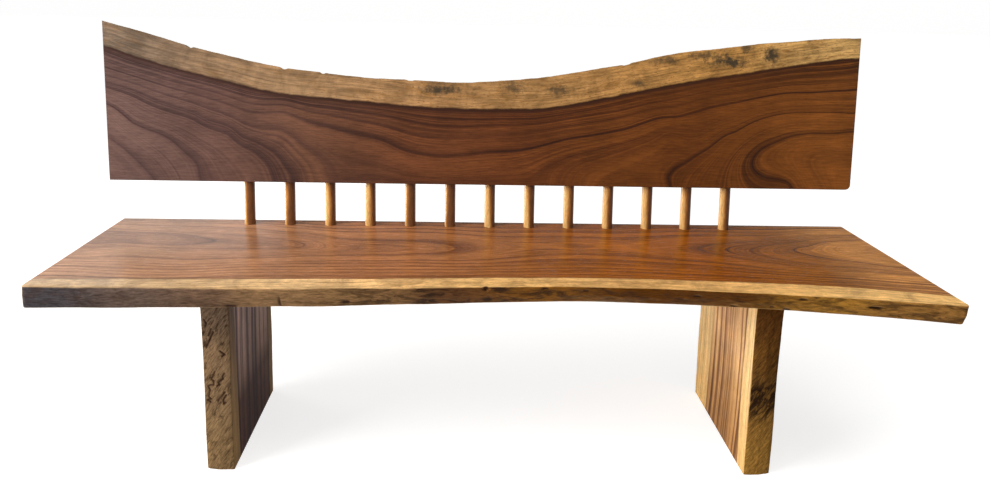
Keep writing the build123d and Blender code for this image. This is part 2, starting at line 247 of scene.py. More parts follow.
# Looks of the slabs. The first six are ramps along a slab or up a leg, from 0 to 1: colours of early growth,
# late growth, sapwood and natural edge, some by their names in BenchColours, then how brown the sapwood is
# and how blotched the edge. Drift, fine, wide_depth, fine_depth, calm and rim shape the growth lines: how
# far they wander, how fine the finest are, how deep soft bands and fine lines are, the rings where fine
# lines fade, and the dark rim of the heart. Streak, mottle and cloud shape the sapwood, fibre the heart, and
# slant, grit, blotch and hatch the natural edge. A leg's sap_widths are its sapwood's at front and back.
LOOKS = {
    "seat": {
        "light": ((0.0, (0.42, 0.22, 0.115)), (0.28, (0.412, 0.163, 0.063)), (0.5, "seat_light"),
                  (0.72, (0.39, 0.115, 0.0115)), (0.866, (0.33, 0.087, 0.004)),
                  (0.967, (0.385, 0.13, 0.016)), (1.0, (0.68, 0.3, 0.075))),
        "dark": ((0.0, (0.25, 0.12, 0.065)), (0.28, (0.206, 0.079, 0.0345)), (0.5, "seat_dark"),
                 (0.72, (0.17, 0.048, 0.008)), (0.866, (0.13, 0.034, 0.003)),
                 (0.967, (0.147, 0.048, 0.0075)), (1.0, (0.265, 0.103, 0.03))),
        "pale": ((0.0, (0.5, 0.335, 0.19)), (0.1, (0.485, 0.312, 0.152)), (0.2, (0.75, 0.48, 0.23)),
                 (0.35, (0.69, 0.41, 0.165)), (0.5, (0.72, 0.425, 0.155)), (0.72, (0.655, 0.365, 0.128)),
                 (0.86, (0.76, 0.43, 0.147)), (1.0, (0.845, 0.5, 0.172))),
        # At its left end the seat's natural edge is dark bark with a painted bluish-grey sheen
        "bark": ((0.0, "dark_bark_and_sheen"), (0.03, (0.11, 0.072, 0.056)), (0.095, (0.148, 0.084, 0.051)),
                 (0.156, (0.283, 0.157, 0.073)), (0.275, (0.29, 0.155, 0.064)), (0.32, (0.26, 0.135, 0.054)),
                 (0.425, (0.152, 0.062, 0.022)), (0.58, (0.27, 0.103, 0.014)), (0.73, (0.137, 0.042, 0.002)),
                 (0.86, (0.132, 0.044, 0.006)), (0.95, (0.5, 0.23, 0.036)), (1.0, (0.37, 0.172, 0.043))),
        "browning": ((0.0, 0.35), (0.2, 0.5), (0.6, 0.65), (0.85, 0.35), (1.0, 0.2)),
        "patches": ((0.0, 0.5), (0.15, 0.25), (0.25, 0.35), (0.31, 0.8), (0.42, 0.95), (0.6, 0.85),
                    (0.75, 0.5), (1.0, 0.65)),
        "charts": SEAT_CHARTS, "drift": 0.25, "fine": 11.0, "wide_depth": 0.4, "fine_depth": 1.5,
        "calm": (7.9, 8.8), "rim": 0.3, "streak": (9.0, 150.0), "mottle": (0.64, 1.3), "cloud": (0.64, 1.3),
        "fibre": (0.66, 1.3), "slant": 0.0, "grit": 1.3, "blotch": (0.46, 0.62), "hatch": (0.5, 1.44),
        "rough": 0.2, "gloss": 0.1,
    },
    "backrest": {
        "light": ((0.0, (0.131, 0.074, 0.061)), (0.05, (0.123, 0.063, 0.049)), (0.17, (0.14, 0.061, 0.035)),
                  (0.34, (0.146, 0.05, 0.02)), (0.54, "back_light"), (0.73, (0.195, 0.062, 0.0135)),
                  (0.886, (0.165, 0.0505, 0.01)), (1.0, (0.272, 0.088, 0.017))),
        "dark": ((0.0, (0.06, 0.032, 0.029)), (0.16, (0.055, 0.026, 0.02)), (0.34, (0.058, 0.021, 0.011)),
                 (0.54, "back_dark"), (0.8, (0.07, 0.021, 0.006)), (1.0, (0.085, 0.028, 0.008))),
        "pale": ((0.0, (0.143, 0.1, 0.07)), (0.04, (0.2, 0.125, 0.072)), (0.15, (0.28, 0.168, 0.086)),
                 (0.4, (0.345, 0.185, 0.075)), (0.6, (0.37, 0.2, 0.074)), (0.75, (0.42, 0.217, 0.07)),
                 (0.93, (0.46, 0.235, 0.066)), (1.0, (0.58, 0.345, 0.122))),
        "bark": ((0.0, (0.2, 0.13, 0.07)), (0.4, (0.24, 0.14, 0.06)), (1.0, "bark_light")),
        "browning": ((0.0, 0.3), (0.15, 0.45), (0.35, 0.85), (1.0, 1.0)),
        "patches": ((0.0, 0.8), (1.0, 0.8)),
        "charts": BACK_CHARTS, "drift": 0.3, "fine": 16.0, "wide_depth": 0.3, "fine_depth": 1.15,
        "calm": (4.7, 5.2), "rim": 0.8, "streak": (9.0, 150.0), "mottle": (0.58, 1.38), "cloud": (0.7, 1.26),
        "fibre": (0.74, 1.24), "slant": 0.0, "grit": 1.0, "blotch": (0.5, 0.7), "hatch": (0.5, 1.4),
        "rough": 0.4, "gloss": 0.12,
    },
    "legs": {
        "browning": ((0.0, 0.25), (1.0, 0.25)), "drift": 0.8, "fine": 6.0, "calm": (7.9, 8.8), "rim": 0.3,
        "streak": (1.5, 230.0), "mottle": (0.58, 1.34), "cloud": (0.9, 1.08), "fibre": (0.74, 1.22),
        "slant": radians(55), "grit": 2.2, "hatch": (0.45, 1.45), "rough": 0.5, "gloss": 0.02, "stains": (),
    },
    "left_leg": {
        # The left leg's growth ramps are dark at the foot: painted shade on its inner face
        "light": ((0.0, (0.15, 0.06, 0.035)), (0.25, (0.21, 0.105, 0.068)), (0.45, (0.66, 0.45, 0.355)),
                  (1.0, (0.96, 0.74, 0.64))),
        "dark": ((0.0, (0.035, 0.012, 0.009)), (0.25, (0.06, 0.028, 0.023)), (0.45, (0.205, 0.14, 0.133)),
                 (1.0, (0.28, 0.21, 0.225))),
        "pale": ((0.0, (0.4, 0.25, 0.1)), (0.6, (0.33, 0.215, 0.115)), (1.0, (0.15, 0.105, 0.08))),
        # Its natural edge darkens towards the top: partly painted shadow of the seat, partly its own
        # blotches
        "bark": ((0.0, (0.2, 0.122, 0.057)), (0.45, (0.175, 0.108, 0.057)), (0.75, (0.2, 0.122, 0.066)),
                 (1.0, (0.14, 0.09, 0.058))),
        "patches": ((0.0, 0.5), (0.4, 0.7), (1.0, 0.85)), "blotch": (0.53, 0.64),
        "charts": (LEG_CHARTS["left_leg"],) * 2, "wide_depth": 0.55, "fine_depth": 1.05,
        "sap_widths": (0.05, 0.04),
    },
    "right_leg": {
        "light": ((0.0, (0.46, 0.23, 0.082)), (0.35, (0.58, 0.32, 0.13)), (0.7, "leg_light")),
        "dark": ((0.0, (0.14, 0.055, 0.022)), (0.35, (0.2, 0.085, 0.037)), (0.7, "leg_dark")),
        "pale": ((0.0, (0.78, 0.48, 0.19)), (1.0, (0.86, 0.58, 0.29))),
        "bark": ((0.0, (0.4, 0.2, 0.042)), (0.2, (0.36, 0.175, 0.038)), (0.36, (0.25, 0.12, 0.03)),
                 (0.55, (0.21, 0.096, 0.024)), (0.75, (0.22, 0.092, 0.019)), (1.0, (0.16, 0.06, 0.013))),
        "patches": ((0.0, 0.0), (0.2, 0.1), (0.32, 0.9), (0.52, 1.0), (0.62, 0.35), (0.8, 0.5), (1.0, 0.15)),
        "blotch": (0.42, 0.58), "charts": (LEG_CHARTS["right_leg"],) * 2, "wide_depth": 0.9,
        "fine_depth": 1.6, "sap_widths": (0.05, 0.105),
    },
}

# Lamps: name, place, target, size, power, colour, and whether reflections show it
LAMPS = (
    ("key", (-2.7, -1.3, 2.2), (0, 0, 0.45), (2.0, 1.6), 114, (1.0, 0.97, 0.92), False),
    ("low", (-2.6, -1.15, 0.22), (0.5, 0, 0.22), (1.2, 0.4), 34, (1.0, 0.95, 0.88), False),
    ("window", (-2.0, -2.6, 1.2), (-0.4, 0.2, 0.7), (1.4, 1.6), 10, (0.4, 0.75, 1.0), True),
    ("glow", (-2.6, 2.8, 1.2), (-0.6, 0.0, 0.45), (3.0, 1.6), 15, (0.95, 0.98, 1.0), True),
    ("rear", (-3.0, 1.5, 0.3), (0.55, 0.1, 0.28), (1.2, 0.6), 55, (1.0, 0.95, 0.85), True),
    ("ceiling", (0.3, -0.6, 3.2), (0.1, 0.0, 0.4), (3.0, 2.2), 52, (1.0, 0.98, 0.95), True),
)
WORLD_COLOUR, WORLD_STRENGTH = (1.0, 0.98, 0.95, 1), 0.16
# The photograph's view: a little above the backrest, left of the middle and tilted a little
CAMERA_PLACE = (-0.06802, -1.78946, 1.00888)
CAMERA_TURN = (72.9775, -1.2467, -1.9948)
CAMERA_LENS, CAMERA_SENSOR = 29.92, 36


def colour(name, value, about):
    """A wood or light colour, written as linear red, green and blue."""
    return FloatVectorProperty(name=name, description=about, default=value, size=3, subtype="COLOR",
                               min=0, max=1)


def length(name, value, about):
    """A size in metres."""
    return FloatProperty(name=name, description=about, default=value, unit="LENGTH", subtype="DISTANCE",
                         min=0)


class BenchSizes(bpy.types.PropertyGroup):
    """Sizes of the detail that the pieces carry beyond their CAD shapes."""

    rake: FloatProperty(name="Rake", description="Lean of the backrest and its spindles", default=radians(9),
                        unit="ROTATION", subtype="ANGLE")
    spindle_inset: length("Spindle inset", 0.0395, "From the seat's back edge to the spindles' axes")
    spindle_show: length("Spindle length", 0.106, "Bare length of a spindle, between seat and backrest")
    edge_ease: length("Eased edge", 0.0022, "Width of the easing along the slabs' edges")
    seat_corner: length("Seat corner", 0.009, "Radius of the seat's front corners")
    back_corner: length("Backrest corner", 0.012, "Radius of the backrest's lower right corner")
    bark_relief: length("Bark relief", 0.0022, "Depth of the hollows worn into the natural edges")
    spindle_sides: IntProperty(name="Spindle sides", description="Facets round a spindle", default=40,
                               min=12)
    spindle_wear: length("Spindle wear", 0.0004, "How far a spindle departs from round")


class BenchColours(bpy.types.PropertyGroup):
    """Colours of the wood and of the stage."""

    seat_light: colour("Seat, light", (0.34, 0.125, 0.0335), "Early growth on the sitting face")
    seat_dark: colour("Seat, dark", (0.175, 0.0545, 0.0157), "Late growth on the sitting face")
    back_light: colour("Backrest, light", (0.168, 0.0525, 0.015), "Early growth on the backrest")
    back_dark: colour("Backrest, dark", (0.075, 0.023, 0.009), "Late growth on the backrest")
    leg_light: colour("Leg, light", (0.76, 0.46, 0.22), "Early growth on the legs")
    leg_dark: colour("Leg, dark", (0.34, 0.155, 0.075), "Late growth on the legs")
    ring_line: colour("Ring line", (0.028, 0.011, 0.007), "The darkest growth lines")
    sapwood: colour("Sapwood", (0.56, 0.335, 0.135), "Pale wood under the bark")
    sap_streak: colour("Sapwood streak", (0.26, 0.125, 0.036), "Darker streaks in the sapwood")
    sap_fleck: colour("Sapwood fleck", (0.13, 0.065, 0.024), "Short dark flecks in the sapwood")
    sap_stain: colour("Sapwood stain", (0.06, 0.042, 0.024), "Grey stain in the sapwood")
    bark_light: colour("Bark side, light", (0.29, 0.135, 0.033), "The natural edge where it is worn pale")
    bark_dark: colour("Bark side, dark", (0.035, 0.016, 0.008), "The natural edge in its hollows")
    # Dark bark with a painted bluish-grey sheen, for the left end of the seat's natural edge
    dark_bark_and_sheen: colour("Bark side, cold", (0.045, 0.039, 0.043), "The natural edge where it is weathered")
    spindle_light: colour("Spindle, light", (0.74, 0.42, 0.145), "The palest wood of the spindles")
    spindle_mid: colour("Spindle, middling", (0.42, 0.165, 0.034), "Most of the wood of the spindles")
    spindle_dark: colour("Spindle, dark", (0.17, 0.06, 0.015), "The darkest wood of the spindles")
    floor: colour("Floor", (0.5, 0.5, 0.5), "The studio floor")


# Wood, as nodes


class Wood:
    """A material under construction: short calls that add a node, join its inputs and return its output."""

    def __init__(self, name):
        self.shades = bpy.context.scene.bench_colours
        self.material = bpy.data.materials.new(name)
        self.material.use_nodes = True
        self.tree = self.material.node_tree
        self.tree.nodes.clear()

    def node(self, kind, inputs=(), **settings):
        """A node with its settings made and its inputs set or joined."""
        made = self.tree.nodes.new(kind)
        for key, value in settings.items():
            setattr(made, key, value)
        for key, value in dict(inputs).items():
            if isinstance(value, bpy.types.NodeSocket):
                self.tree.links.new(value, made.inputs[key])
            else:
                made.inputs[key].default_value = value
        return made

    def attribute(self, name):
        return self.node("ShaderNodeAttribute", attribute_name=name).outputs["Fac"]

    def place(self):
        """The point's place on the object: all three together, then each."""
        whole = self.node("ShaderNodeTexCoord").outputs["Object"]
        each = self.node("ShaderNodeSeparateXYZ", {"Vector": whole}).outputs
        return whole, each["X"], each["Y"], each["Z"]

    def join(self, x, y, z):
        return self.node("ShaderNodeCombineXYZ", {"X": x, "Y": y, "Z": z}).outputs["Vector"]

    def scaled(self, where, scale):
        return self.node("ShaderNodeMapping", {"Vector": where, "Scale": scale}).outputs["Vector"]

    def math(self, operation, a, b=0.0, c=0.0, clamp=False):
        made = self.node("ShaderNodeMath", {0: a, 1: b, 2: c}, operation=operation, use_clamp=clamp)
        return made.outputs["Value"]

    def vector(self, operation, a, b=(0, 0, 0)):
        """A sum or product of vectors, or the length of the first."""
        made = self.node("ShaderNodeVectorMath", {0: a, 1: b}, operation=operation)
        return made.outputs["Value" if operation == "LENGTH" else "Vector"]

    def stretch(self, along, across, scales, offset=0.0):
        """A place for noise that runs with the grain: two values, each times its own scale."""
        first, second = (self.math("MULTIPLY", *pair) for pair in zip((along, across), scales))
        return self.join(first, second, offset)

    def noise(self, where, scale=1.0, detail=2.0, rough=0.5, warp=0.0):
        """Cloudy noise in space."""
        inputs = {"Vector": where, "Scale": scale, "Detail": detail, "Roughness": rough, "Distortion": warp}
        return self.node("ShaderNodeTexNoise", inputs, noise_dimensions="3D").outputs["Fac"]

    def sway(self, base, value, amount):
        """A base value moved to and fro by noise."""
        return self.math("MULTIPLY_ADD", self.math("SUBTRACT", value, 0.5), amount, base)

    def fade(self, value, low, high, to_low=0.0, to_high=1.0):
        """A smooth step from one value to another."""
        inputs = {"Value": value, "From Min": low, "From Max": high, "To Min": to_low, "To Max": to_high}
        return self.node("ShaderNodeMapRange", inputs, interpolation_type="SMOOTHSTEP").outputs["Result"]

    def ramp(self, value, stops, smooth=False):
        """A ramp of greys, colours or named colours at the stops given."""
        made = self.node("ShaderNodeValToRGB", {"Fac": value})
        ramp = made.color_ramp
        ramp.interpolation = "EASE" if smooth else "LINEAR"
        while len(ramp.elements) < len(stops):
            ramp.elements.new(0.5)
        for element, (at, shade) in zip(ramp.elements, stops):
            if isinstance(shade, str):
                shade = getattr(self.shades, shade)
            element.position = at
            element.color = (*shade, 1) if hasattr(shade, "__len__") else (shade, shade, shade, 1)
        return made.outputs["Color"]

    def mix(self, factor, a, b, how="MIX"):
        a, b = [(*v, 1) if not isinstance(v, bpy.types.NodeSocket) else v for v in (a, b)]
        made = self.node("ShaderNodeMix", {0: factor, 6: a, 7: b}, data_type="RGBA", blend_type=how)
        return made.outputs[2]

    def tint(self, base, value, low, high):
        """A colour made darker and lighter by a value that runs from 0 to 1."""
        grey = self.fade(value, 0.25, 0.75, low, high)
        return self.mix(1.0, base, self.join(grey, grey, grey), "MULTIPLY")

    def finish(self, base, roughness, height, relief, gloss=0.5):
        """A satin lacquer over the colour, with relief in metres."""
        bump = self.node("ShaderNodeBump", {"Height": height, "Distance": relief, "Strength": 0.6})
        shader = self.node("ShaderNodeBsdfPrincipled", {
            "Base Color": base, "Roughness": roughness, "Normal": bump.outputs["Normal"], "IOR": 1.5,
            "Specular IOR Level": gloss})
        self.node("ShaderNodeOutputMaterial", {"Surface": shader.outputs["BSDF"]})
        return self.material


def heartwood(wood, grain, run, ring, style):
    """Growth bands: the charts' own lines, softer bands between them, fibres along the run and pores."""
    line = wood.shades.ring_line
    span = style["charts"][0][-1][0]
    drift = wood.noise(wood.stretch(run, ring, (2.2, 0.6)), 1.0, 3.0)
    ring = wood.sway(ring, drift, style["drift"])
    reach = wood.attribute("reach")
    share = wood.math("DIVIDE", ring, span)
    charts = [[(at / span, depth) for at, depth in chart] for chart in style["charts"]]
    first, last = (wood.ramp(share, chart) for chart in charts)
    marks = wood.mix(wood.fade(reach, 0.4, 0.6), first, last)
    patch = wood.noise(wood.stretch(run, ring, (2.2, 1.2), 7.0), 1.3, 2.0)
    marks = wood.math("MULTIPLY", marks, wood.fade(patch, 0.25, 0.6, 0.6, 1.05))
    wide = wood.noise(wood.stretch(run, ring, (0.8, 3.0), 1.0), 1.0, 2.0)
    fine = wood.noise(wood.stretch(run, ring, (1.6, style["fine"]), 3.0), 1.0, 3.0, 0.6)
    fine = wood.math("SUBTRACT", fine, 0.5)
    fine = wood.math("MULTIPLY", fine, wood.fade(patch, 0.35, 0.7, 0.5, 1.2))
    fine = wood.math("MULTIPLY", fine, wood.fade(ring, 0.0, 1.6, 1.7, 1.0))
    fine = wood.math("MULTIPLY", fine, wood.fade(ring, *style["calm"], 1.0, 0.4))
    dark = wood.sway(marks, wide, style["wide_depth"])
    dark = wood.math("MULTIPLY_ADD", fine, style["fine_depth"], dark)
    light, deep = wood.ramp(reach, style["light"]), wood.ramp(reach, style["dark"])
    base = wood.mix(wood.math("MULTIPLY", dark, 2.0, clamp=True), light, deep)
    base = wood.mix(wood.fade(dark, 0.5, 1.0), base, line)
    fibre = wood.noise(grain, 24.0, 4.0, 0.7)
    base = wood.tint(base, fibre, *style["fibre"])
    pores = wood.fade(wood.noise(grain, 52.0, 1.0), 0.62, 0.72)
    return wood.mix(wood.math("MULTIPLY", pores, 0.4), base, line), fibre, pores


def sapwood(wood, where, grain, run, sap, style):
    """Pale wood: streaks along the run, browner patches and short dark flecks."""
    reach = wood.attribute("reach")
    pale = wood.ramp(reach, style["pale"])
    browning = wood.ramp(reach, style["browning"])
    low, high = style["mottle"]
    patch = wood.noise(wood.stretch(run, sap, (11.0, 46.0), 4.0), 1.0, 5.0, 0.68, 1.6)
    patch = wood.fade(patch, 0.46, 0.72)
    pale = wood.mix(wood.math("MULTIPLY", patch, browning), pale, wood.shades.sap_streak)
    streak = wood.noise(wood.stretch(run, sap, style["streak"], 2.0), 1.0, 4.0, 0.65, 1.0)
    pale = wood.tint(pale, streak, high, low)
    pale = wood.tint(pale, wood.noise(where, 19.0, 4.0, 0.65, 0.8), *style["cloud"])
    pale = wood.tint(pale, wood.noise(grain, 24.0, 3.0, 0.7), 0.86, 1.12)
    fleck = wood.noise(wood.stretch(run, sap, (85.0, 310.0), 6.0), 1.0, 3.0, 0.7)
    fleck = wood.math("MULTIPLY", wood.fade(fleck, 0.54, 0.7), wood.fade(browning, 0.0, 1.0, 0.3, 1.0))
    return wood.mix(fleck, pale, wood.shades.sap_fleck)


def natural_edge(wood, x, y, z, style):
    """The side that lay under the bark: streaks at the style's slant, dark blotches and its own tone."""
    slant, grit = style["slant"], style["grit"]
    with_grain = wood.math("MULTIPLY_ADD", z, sin(slant), wood.math("MULTIPLY", x, cos(slant)))
    off_grain = wood.math("MULTIPLY_ADD", x, -sin(slant), wood.math("MULTIPLY", z, cos(slant)))
    blotch = wood.stretch(with_grain, off_grain, (13.0 * grit, 42.0 * grit), y)
    blotch = wood.noise(blotch, 1.0, 5.0, 0.62, 0.7)
    hatch = wood.noise(wood.stretch(with_grain, off_grain, (60.0, 340.0), y), 1.0, 4.0, 0.7, 0.5)
    reach = wood.attribute("reach")
    skin = wood.ramp(reach, style["bark"], True)
    low, high = style["blotch"]
    stain = wood.math("MULTIPLY", wood.fade(blotch, low, high), wood.ramp(reach, style["patches"]))
    skin = wood.mix(stain, skin, wood.shades.bark_dark)
    skin = wood.tint(skin, hatch, *style["hatch"])
    height = wood.math("MULTIPLY_ADD", hatch, 0.7, wood.fade(blotch, low, high, 0.6, 0.0))
    return skin, height


def slab_wood(name, run_axis, style):
    """A slab's wood: heartwood, sapwood beyond the heart line, and the natural edge outside it all."""
    wood = Wood(name)
    line = wood.shades.ring_line
    where, x, y, z = wood.place()
    run = {"X": x, "Z": z}[run_axis]
    ring, sap, bark, mark = (wood.attribute(layer) for layer in ("ring", "sap", "bark", "mark"))
    grain = wood.scaled(where, {"X": (1, 18, 18), "Z": (18, 18, 1)}[run_axis])
    heart, fibre, pores = heartwood(wood, grain, run, ring, style)
    heart = wood.tint(heart, wood.noise(where, 8.0, 5.0, 0.6), 0.82, 1.18)
    pale = sapwood(wood, where, grain, run, sap, style)

    wander = wood.math("SUBTRACT", sap, 0.004)
    wander = wood.math("MULTIPLY_ADD", wood.noise(where, 24.0, 3.0, 0.6), 0.008, wander)
    rim = wood.math("MULTIPLY", wood.fade(wander, -0.02, -0.002), wood.fade(wander, 0.0, 0.003, 1.0, 0.0))
    heart = wood.mix(wood.math("MULTIPLY", rim, style["rim"]), heart, line)
    base = wood.mix(wood.fade(wander, -0.003, 0.003), heart, pale)
    for centre, size, depth in style["stains"]:
        gap = wood.vector("SUBTRACT", where, centre)
        away = wood.vector("LENGTH", wood.vector("MULTIPLY", gap, [1 / s for s in size]))
        ragged = wood.math("MULTIPLY_ADD", wood.noise(where, 70.0, 4.0, 0.7), 2.6, away)
        base = wood.mix(wood.fade(ragged, 1.45, 2.5, depth, 0.0), base, wood.shades.sap_stain)

    skin, rugged = natural_edge(wood, x, y, z, style)
    base = wood.mix(bark, base, skin)
    # mark paints the seat's pits dark, as painted shade in these hollows, and the grubs' trails on the left
    # leg
    base = wood.mix(wood.math("MULTIPLY", mark, 0.9), base, line)
    rough = wood.math("MULTIPLY_ADD", bark, 0.2, style["rough"])
    rough = wood.math("MULTIPLY_ADD", fibre, 0.12, rough)
    smooth = wood.math("SUBTRACT", wood.math("MULTIPLY", fibre, 0.12), wood.math("MULTIPLY", pores, 0.2))
    height = wood.node("ShaderNodeMix", {0: bark, 2: smooth, 3: rugged}).outputs[0]
    return wood.finish(base, rough, height, SLAB_RELIEF, style["gloss"])


# Modelling


def flat_curve(points, at):
    """The straight-sided curve through points, smoothed a little, at each place asked for."""
    xs, values = np.array(points).T
    shifts = (-1, -0.5, 0, 0.5, 1)
    return sum(np.interp(at + shift * HEART_SMOOTHING, xs, values) for shift in shifts) / len(shifts)


def ring_field(heart, grain):
    """The smooth surface through the grain lines, 0 on the heart line: a thin plate bent to the lines."""
    lines = ((0.0, heart),) + grain
    at = np.array([point for _, points in lines for point in points])
    rings = np.array([ring for ring, points in lines for _ in points])

    def plate(a, b):
        square = ((a[:, None] - b[None]) ** 2).sum(2) + 1e-9
        return square * np.log(square) / 2

    count = len(at)
    flat = np.column_stack([np.ones(count), at])
    system = np.zeros((count + 3, count + 3))
    system[:count, :count] = plate(at, at) + GRAIN_GIVE * np.eye(count)
    system[:count, count:] = flat
    system[count:, :count] = flat.T
    weights = np.linalg.solve(system, np.append(rings, [0, 0, 0]))

    def field(x, v):
        where = np.column_stack([x, v])
        total = weights[count] + where @ weights[count + 1:]
        batch = 4000
        for start in range(0, len(where), batch):
            total[start:start + batch] += plate(where[start:start + batch], at) @ weights[:count]
        return total

    return field


def mode(name):
    bpy.ops.object.mode_set(mode=name)


def deselect():
    if bpy.context.object and bpy.context.object.mode != "OBJECT":
        mode("OBJECT")
    bpy.ops.object.select_all(action="DESELECT")


def select_edges(piece, chosen):
    """Selects the edges that a list of flags names, in edit mode."""
    mode("EDIT")
    bpy.ops.mesh.select_mode(type="EDGE")
    bpy.ops.mesh.select_all(action="DESELECT")
    mode("OBJECT")
    piece.data.edges.foreach_set("select", chosen)
    mode("EDIT")


def read(items, field, wide, kind=float):
    """One field of all of a mesh's points or edges, a row for each."""
    values = np.empty(wide * len(items), kind)
    items.foreach_get(field, values)
    return values.reshape(-1, wide)


def points_of(mesh):
    return read(mesh.vertices, "co", 3)


def normals_of(mesh):
    return read(mesh.vertices, "normal", 3)


def ends_of(mesh):
    return read(mesh.edges, "vertices", 2, int)


def move_points(mesh, places):
    mesh.vertices.foreach_set("co", places.ravel())
    mesh.update()


def paint(mesh, **layers):
    """Gives each of a mesh's points a number in each layer named."""
    for name, values in layers.items():
        mesh.attributes.new(name, "FLOAT", "POINT").data.foreach_set("value", np.asarray(values, float))


def grid_lines(rounds):
    """Where a block has its points along an axis, from -1 to 1, after that axis's rounds of cuts."""
    return np.linspace(-1, 1, np.prod([count + 1 for count in rounds]) + 1)


def block(name, cuts):
    """A cube primitive from -1 to 1 each way, cut to a grid."""
    deselect()
    bpy.ops.mesh.primitive_cube_add(size=2, location=(0, 0, 0))
    piece = bpy.context.object
    piece.name = piece.data.name = name
    for axis, rounds in enumerate(cuts):
        for count in rounds:
            places = points_of(piece.data)
            ends = ends_of(piece.data)
            run = np.abs(places[ends[:, 0]] - places[ends[:, 1]])
            select_edges(piece, run[:, axis] > run.sum(1) * 0.99)
            bpy.ops.mesh.subdivide(number_cuts=count)
            mode("OBJECT")
    return piece


def ease_edges(piece, corners, width):
    """Bevels the long edges of a block that has been shaped: corners are its points while it was a cube."""
    outside = np.abs(corners) > 0.9999
    ends = ends_of(piece.data)
    same_side = corners[ends[:, 0]] * corners[ends[:, 1]] > 0
    shared = outside[ends[:, 0]] & outside[ends[:, 1]] & same_side
    select_edges(piece, shared.sum(1) >= 2)
    bpy.ops.mesh.bevel(offset=width, offset_type="OFFSET", segments=2, affect="EDGES", clamp_overlap=True)
    bpy.ops.mesh.select_all(action="SELECT")
    bpy.ops.mesh.normals_make_consistent(inside=False)
    mode("OBJECT")
    bpy.ops.object.shade_smooth_by_angle(angle=SMOOTH_BELOW)


def step(value, low, high):
    """A smooth step from 0 to 1."""
    t = np.clip((value - low) / (high - low), 0, 1)
    return t * t * (3 - 2 * t)


def cad_tree(node):
    """The CAD solid of a node, ready to be touched along a line."""
    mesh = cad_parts[node].data
    return BVHTree.FromPolygons([v.co for v in mesh.vertices], [p.vertices[:] for p in mesh.polygons])


def touch(tree, start, towards):
    """Where a line first meets the solid."""
    place = tree.ray_cast(Vector(start), Vector(towards))[0]
    if place is None:
        raise RuntimeError(f"nothing of the solid lies along the line from {start}")
    return place


def hollows(run, across, pits, relief, seed):
    """How far a natural edge is worn in at each place: waves, finer dints and specks, and the pits given."""
    depth = np.empty(run.shape)
    for i in np.ndindex(run.shape):
        level = WEAR_LEVEL
        for along, over, shift, share in WEAR:
            level += share * noise.noise(Vector((run[i] * along, across[i] * over, seed + shift)))
        depth[i] = relief * level
    for place, row, long, high, deep in pits:
        away = ((run - place) / long) ** 2 + ((across - row) * HALF_THICK / high) ** 2
        depth += deep * np.exp(-away ** 2 * 0.7)
    return np.maximum(depth, 0)


def trails(across, heights):
    """1 in the grubs' trails and 0 a little way off them."""
    here = np.stack([across, heights], axis=-1)
    nearest = np.full(across.shape, 1.0)
    for route in TRAILS:
        for start, end in zip(np.array(route), np.array(route[1:])):
            stretch = end - start
            share = np.clip((here - start) @ stretch / (stretch @ stretch), 0, 1)
            away = np.linalg.norm(here - start - share[..., None] * stretch, axis=-1)
            nearest = np.minimum(nearest, away)
    return 1 - step(nearest, *TRAIL_WIDTHS)


def rounding(away, radius):
    """How far a round corner falls back at a distance from the corner's side."""
    return radius - np.sqrt(radius ** 2 - np.clip(radius - away, 0, radius) ** 2)


def grid_values(places, table):
    """Values of a table at a block's own points: its first axis runs along X and its second along Z."""
    i = np.rint((places[:, 0] + 1) / 2 * (table.shape[0] - 1)).astype(int)
    k = np.rint((places[:, 2] + 1) / 2 * (table.shape[1] - 1)).astype(int)
    return table[i, k]


def settle(piece, node, material):
    """Puts a finished piece in place of its CAD node."""
    piece.data.materials.clear()
    piece.data.materials.append(material)
    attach(piece, "root")
    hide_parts(node)


